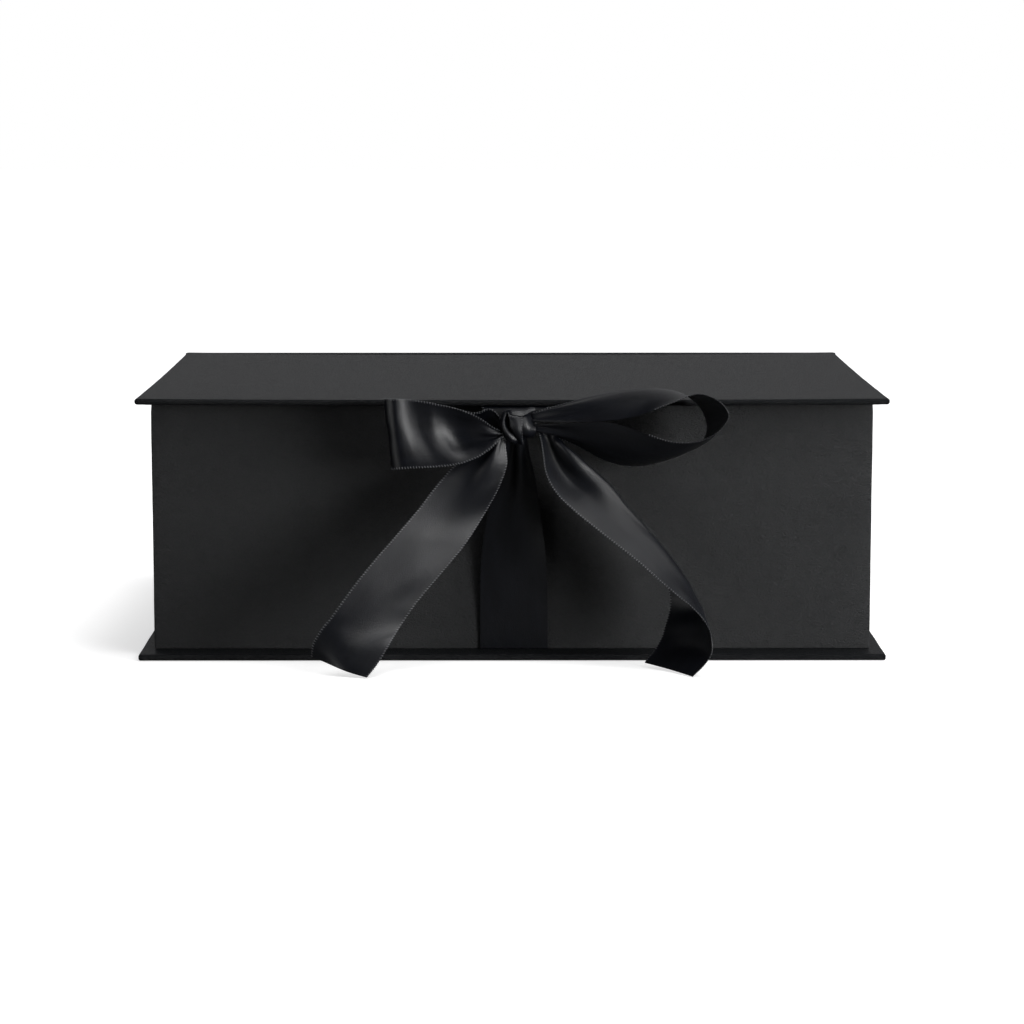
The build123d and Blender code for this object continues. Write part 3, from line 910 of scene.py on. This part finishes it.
# Out from the knot behind, round the fold at the left, and back to the knot in front, dished like a spoon.
left_loop = [
    [(-3.5, -105, 89.6), (-3.5, -105, 88.5), (-3.5, -105, 87.4), (-3.5, -105, 86.3), (-3.5, -105, 85.2)],
    [(-5.5, -106, 93.4), (-5.5, -104.5, 91), (-5.5, -103.5, 88.3),
     (-5.5, -103.5, 85.7), (-5.5, -104, 83.6)],
    [(-8.5, -106, 95.3), (-9, -104, 91.7), (-9, -103, 87.9), (-9, -103, 84.2), (-9, -103.5, 80.9)],
    [(-12.5, -104.5, 93.8), (-12.5, -103.5, 90.2), (-12.5, -103, 86.4),
     (-12.5, -103, 82.3), (-12.5, -103.5, 78.7)],
    [(-21, -103.5, 95), (-21, -103.5, 89.8), (-21, -103.5, 85), (-21, -103.5, 79.8), (-21, -103.5, 75.3)],
    [(-34, -104.5, 96.6), (-34, -104.5, 91.1), (-34, -104.5, 85.5),
     (-34, -104.5, 79.9), (-34, -104.5, 74.3)],
    [(-44.5, -106.5, 98.3), (-44, -106.5, 92), (-43.5, -106.5, 85.7),
     (-43, -106.5, 79.4), (-42.5, -106.5, 73.5)],
    [(-47, -109.4, 99.2), (-46.5, -109.4, 92.7), (-45.5, -109.4, 86.4),
     (-45, -109.4, 80.1), (-44.5, -109.4, 73.6)],
    [(-46.5, -112.4, 99.7), (-46, -112.4, 93), (-45, -112.4, 86.8),
     (-44.5, -112.4, 80.5), (-43.5, -112.4, 73.8)],
    [(-44, -113.9, 99.8), (-43.5, -113.9, 93.2), (-43, -113.9, 87.1),
     (-42, -113.9, 80.9), (-41, -113.9, 74.2)],
    [(-41.5, -113.6, 99.8), (-41, -113.6, 93.2), (-39.5, -113.5, 87.1),
     (-38, -113.6, 81), (-36, -113.9, 74.5)],
    [(-39.5, -112.7, 99.6), (-38.5, -112.4, 93.1), (-37, -112.2, 87),
     (-34.5, -112.6, 81.1), (-31.5, -113.5, 74.6)],
    [(-37, -112.1, 99.3), (-35.5, -111.5, 92.9), (-34, -111.2, 86.9),
     (-31, -111.7, 81), (-27.5, -113.2, 74.8)],
    [(-33.5, -111.9, 98.8), (-32.5, -111.1, 92.6), (-31, -110.8, 86.8),
     (-28, -111.4, 81.1), (-24, -113.1, 75.1)],
    [(-30, -111.8, 98.2), (-29.5, -110.7, 92.2), (-28.5, -110.3, 86.6),
     (-26, -111, 81.2), (-21.5, -113.1, 75.5)],
    [(-27.5, -111.7, 97.6), (-27, -109.7, 91.7), (-26, -109.1, 86.4),
     (-23.5, -110.2, 81.3), (-19, -112.9, 75.9)],
    [(-24, -111.5, 96.9), (-24, -108.4, 91.3), (-23.5, -107.7, 86.2),
     (-21.5, -108.9, 81.4), (-17, -112.6, 76.5)],
    [(-20.5, -111.3, 96), (-20.5, -107.6, 90.7), (-21, -106.9, 86.1),
     (-19.5, -108, 81.6), (-15, -112.2, 77.2)],
    [(-17, -111, 94.8), (-17.5, -107.5, 90.1), (-17.5, -106.8, 86),
     (-16.5, -107.7, 82.1), (-12.5, -111.6, 78.2)],
    [(-13.5, -110.3, 93.2), (-14, -107.9, 89.4), (-14, -107.2, 86),
     (-13, -107.9, 82.7), (-10.5, -110.8, 79.4)],
    [(-10, -109.3, 91), (-10.5, -108.3, 88.3), (-10.5, -107.8, 85.8),
     (-9.5, -108.3, 83.5), (-8, -109.8, 81.1)],
    [(-7, -108.4, 88.7), (-7, -108.2, 87.2), (-7, -108, 85.9), (-6, -108.2, 84.6), (-5.5, -108.8, 83.2)],
    [(-4, -107.5, 87.3), (-4, -107.5, 86.7), (-4, -107.5, 86.2),
     (-3.5, -107.5, 85.6), (-3.5, -107.5, 85.1)],
]

# Out over the top, round the open turn at the right, and back below; far edge, near edge, bulge.
right_loop = [
    bowed((7.5, -103.0, 93.5), (7.5, -107.0, 91.0), (0, 0, 0.2)),
    bowed((18.0, -102.5, 96.6), (19.0, -112.0, 91.2), (0, -0.8, 1.0)),
    bowed((32.4, -102.0, 100.2), (32.0, -117.0, 92.0), (0, -1.5, 1.8)),
    bowed((50.9, -101.8, 102.6), (46.4, -121.0, 94.7), (0, -1.0, 2.0)),
    bowed((62.0, -101.6, 100.9), (58.0, -123.5, 99.4), (0, 0, 1.0)),
    bowed((68.7, -101.6, 96.3), (68.6, -125.0, 102.7), (0.3, 0, 0.3)),
    bowed((71.3, -101.6, 91.8), (76.2, -126.0, 99.0), (0.3, 0, 0)),
    bowed((72.1, -101.6, 87.7), (78.4, -126.0, 95.2), (0.3, 0, 0)),
    bowed((70.5, -102.0, 82.9), (76.0, -126.0, 90.5), (0.3, 0, -0.5)),
    bowed((64.0, -102.0, 79.0), (68.0, -125.0, 85.6), (0, 0, -1.2)),
    bowed((55.8, -102.0, 75.5), (58.5, -123.0, 85.0), (0, -1.5, -1.8)),
    bowed((46.6, -102.0, 73.6), (47.9, -120.0, 88.0), (0, -2.5, -2.0)),
    bowed((35.5, -102.2, 75.2), (36.0, -115.5, 91.2), (0, -2.2, -1.2)),
    bowed((22.8, -103.0, 81.9), (22.0, -111.0, 90.6), (0, -1.2, -0.5)),
    bowed((8.0, -104.5, 87.0), (8.0, -107.0, 89.6), (0, 0, 0)),
]

# From the tray's foot, up its front to the knot.
band = [
    [(-12.0, -88.75, 2.6), (-5.5, -88.75, 2.6), (0.7, -88.75, 2.6),
     (7.0, -88.75, 2.6), (13.4, -88.75, 2.6)],
    [(-12.0, -89.6, 20), (-5.5, -89.9, 20), (0.7, -89.9, 20), (7.0, -89.8, 20), (13.3, -89.6, 20)],
    [(-11.6, -91.4, 37), (-5.5, -92.0, 37), (0.6, -92.0, 37), (6.8, -91.8, 37), (12.7, -91.4, 37)],
    [(-9.5, -94.6, 52.5), (-4.0, -94.8, 52.5), (1.5, -96.2, 52.5), (6.5, -94.8, 52.5), (10.8, -92.8, 52.5)],
    [(-6.0, -98.6, 68), (-0.5, -97.6, 68), (3.0, -100.4, 68), (6.0, -98.6, 68), (8.5, -96.6, 68)],
    [(-3.2, -101.5, 79), (0.4, -100.0, 79), (2.8, -103.4, 79), (4.6, -101.8, 79), (6.2, -100.0, 79)],
    [(-1.5, -103.0, 84), (0.8, -101.8, 84), (2.6, -104.8, 84), (4.2, -103.2, 84), (5.4, -101.8, 84)],
]

knot_strands = {
    "left": [
        [(-0.6, -104.0, 95.2), (0.0, -105.0, 95.0), (0.7, -105.2, 94.6)],
        [(-3.0, -105.5, 94.3), (-2.2, -107.0, 94.0), (-1.4, -106.4, 93.4)],
        [(-4.1, -106.0, 92.4), (-3.2, -108.2, 92.1), (-2.2, -107.0, 91.8)],
        [(-4.4, -106.3, 90.3), (-3.4, -108.9, 90.0), (-2.1, -107.4, 89.8)],
        [(-4.1, -106.6, 88.3), (-2.9, -109.3, 88.0), (-1.3, -108.0, 88.1)],
        [(-3.4, -107.0, 86.3), (-1.9, -109.5, 86.3), (-0.1, -108.6, 86.4)],
        [(-2.4, -107.0, 84.5), (-0.8, -109.2, 84.7), (1.0, -108.6, 84.9)],
        [(-1.0, -106.6, 82.9), (0.4, -108.2, 83.3), (2.0, -108.2, 83.8)],
        [(0.2, -105.5, 82.2), (1.4, -106.5, 82.5), (2.5, -106.8, 83.0)],
    ],
    "middle": [
        [(-1.5, -107.6, 94.2), (0.9, -107.8, 94.0), (3.4, -107.6, 93.8)],
        [(-1.2, -109.2, 92.4), (1.1, -109.6, 92.1), (3.4, -109.3, 91.8)],
        [(-0.5, -109.8, 90.2), (1.5, -110.3, 89.9), (3.4, -110.0, 89.6)],
        [(0.4, -109.9, 88.0), (2.0, -110.4, 87.7), (3.4, -110.1, 87.4)],
        [(1.3, -109.3, 85.9), (2.5, -109.8, 85.7), (3.5, -109.5, 85.4)],
        [(2.0, -107.8, 84.0), (2.9, -108.4, 83.8), (3.7, -107.8, 83.6)],
        [(2.5, -105.5, 82.5), (3.1, -106.4, 82.3), (3.8, -106.2, 82.2)],
    ],
    "right": [
        [(3.0, -105.6, 94.4), (5.0, -105.6, 94.2), (6.4, -103.4, 94.0)],
        [(3.0, -108.4, 92.6), (5.2, -107.6, 92.4), (7.0, -104.8, 92.0)],
        [(2.9, -109.4, 90.6), (5.7, -108.6, 90.3), (8.0, -105.6, 89.9)],
        [(2.9, -109.3, 88.3), (5.9, -108.9, 88.0), (8.6, -106.1, 87.6)],
        [(3.1, -108.2, 86.2), (5.9, -108.0, 85.9), (8.3, -105.5, 85.7)],
        [(3.4, -105.8, 84.8), (5.7, -105.6, 84.6), (7.6, -103.6, 84.6)],
    ],
    "top": [
        [(-3.4, -103.5, 93.4), (-3.6, -105.2, 94.0), (-3.2, -106.6, 93.2)],
        [(-1.6, -103.5, 94.6), (-1.4, -106.2, 94.9), (-1.0, -108.4, 93.6)],
        [(1.2, -103.5, 94.7), (1.3, -106.6, 94.9), (1.4, -109.0, 93.2)],
        [(3.4, -103.5, 94.7), (3.5, -106.6, 94.8), (3.4, -108.8, 93.0)],
        [(5.2, -103.8, 95.0), (5.4, -106.4, 95.1), (5.3, -108.0, 93.6)],
        [(6.8, -104.0, 95.6), (7.0, -106.0, 95.5), (6.9, -107.2, 94.4)],
        [(8.2, -104.3, 95.6), (8.4, -105.8, 95.4), (8.4, -106.6, 94.8)],
    ],
}
SEWN_STRAND = "middle"  # the one strand of the knot whose right edge shows
KNOT_CENTRE, KNOT_RADII = np.array([2.2, -104.3, 88.6]), np.array([5.4, 3.6, 5.4])


def knot_core():
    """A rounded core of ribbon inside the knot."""
    across_tilt, across_turn = 5.0, 4.0  # UV millimetres per radian
    rings, turns = 14, 24
    verts, coordinates = [], []
    for i in range(1, rings):
        tilt = math.pi * i / rings
        for j in range(turns):
            turn = 2 * math.pi * j / turns
            way = np.array([math.sin(tilt) * math.cos(turn), math.sin(tilt) * math.sin(turn), math.cos(tilt)])
            verts.append(KNOT_CENTRE + way * KNOT_RADII)
            coordinates.append((tilt * across_tilt, turn * across_turn))
    verts += [KNOT_CENTRE + (0, 0, KNOT_RADII[2]), KNOT_CENTRE - (0, 0, KNOT_RADII[2])]
    coordinates += [(0.0, 0.0), (math.pi * across_tilt, 0.0)]
    top, bottom = len(verts) - 2, len(verts) - 1
    faces = []
    for j in range(turns):
        following = (j + 1) % turns
        faces.append((top, j, following))
        last = (rings - 2) * turns
        faces.append((bottom, last + following, last + j))
        for i in range(rings - 2):
            a = i * turns
            faces.append((a + j, a + turns + j, a + turns + following, a + following))
    return verts, faces, coordinates, 0.0


def add_knot():
    parts = []
    for side, rows in knot_strands.items():
        sewn = (None, WHOLE if side == SEWN_STRAND else None)
        parts.append(strip(rows, columns=15, per_mm=2.2, thick=KNOT_THICK, sewn=sewn))
    knot = satin_piece("bow_knot_satin", [*parts, knot_core()])
    stand_in(knot, "base", "bow_knot")
    return knot


def add_bow():
    """The knot, tails and loops with their stitched edges, and the band up the tray's front."""
    knot = add_knot()
    tails = {"held": "hung", "rests_on": ["bow_knot_satin"]}
    pleats = [(0.3, 0.0, 0.4, 2.0, 0.1)]
    ribbon_piece("bow_left_tail_satin", left_tail, "bow_left_tail", **tails, gathers=pleats)
    pleats = [(0.25, 0.0, 0.3, 2.0, 0.4)]
    ribbon_piece("bow_right_tail_satin", right_tail, "bow_right_tail", **tails, columns=37, gathers=pleats)
    loops = {"held": "folded", "rests_on": ["bow_knot_satin"]}
    pleats = [(0.86, 1.0, 0.9, 2.0, 0.0), (0.1, 0.0, 0.5, 2.0, 0.5)]
    ribbon_piece("bow_left_loop_satin", left_loop, "bow_left_loop", **loops, gathers=pleats)
    pleats = [(0.22, 0.0, 0.8, 1.5, 0.2), (0.8, 1.0, 0.8, 1.5, 0.2)]
    sewn = (WHOLE, (0.3, 0.72))
    ribbon_piece("bow_right_loop_satin", right_loop, "bow_right_loop", **loops, gathers=pleats, sewn=sewn)
    stitched = sew_edges("bow_selvedge", stitches, "base")
    upright = {"held": "hung", "rests_on": ["tray_paper_skin"], "with_pieces": [knot, stitched]}
    pleats = [(0.6, 1.0, 0.25, 3.0, 0.3)]
    plain = (None, None)
    ribbon_piece("base_ribbon_satin", band, "base_ribbon_band", **upright, gathers=pleats, sewn=plain)


def add_lid_ribbon():
    """The end glued under the lid comes over its front edge and down into the knot."""
    below = lid_lo[2] - 0.12
    hidden = lid_lo[2] + 0.14
    front = lid_lo[1]
    full_width = (-11.5, -5.2, 1.0, 7.2, 13.5)
    rows = [
        [(x, front + 45.0, hidden) for x in full_width],
        [(x, front + 20.0, hidden) for x in full_width],
        [(x, front + 6.0, hidden) for x in (-11.4, -5.2, 1.0, 7.2, 13.4)],
        [(x, front + 3.2, below) for x in (-11.4, -5.2, 1.0, 7.2, 13.4)],
        [(x, front + 1.6, below - 0.5) for x in (-11.2, -5.1, 1.0, 7.1, 13.2)],
        [(x, front + 1.1, below - 1.8) for x in (-10.5, -4.8, 1.0, 6.8, 12.5)],
        [(x, front + 0.7, below - 5.0) for x in (-7.0, -3.0, 1.5, 5.8, 9.5)],
        [(x, front + 0.5, below - 11.0) for x in (-2.5, 0.0, 2.0, 4.2, 6.5)],
    ]
    edge = []
    ribbon_piece("lid_ribbon_satin", rows, "lid_ribbon", "laid", ["lid_lining_sheet"], body="lid", into=edge)
    sew_edges("lid_ribbon_selvedge", edge, "lid")


add_bow()
add_lid_ribbon()
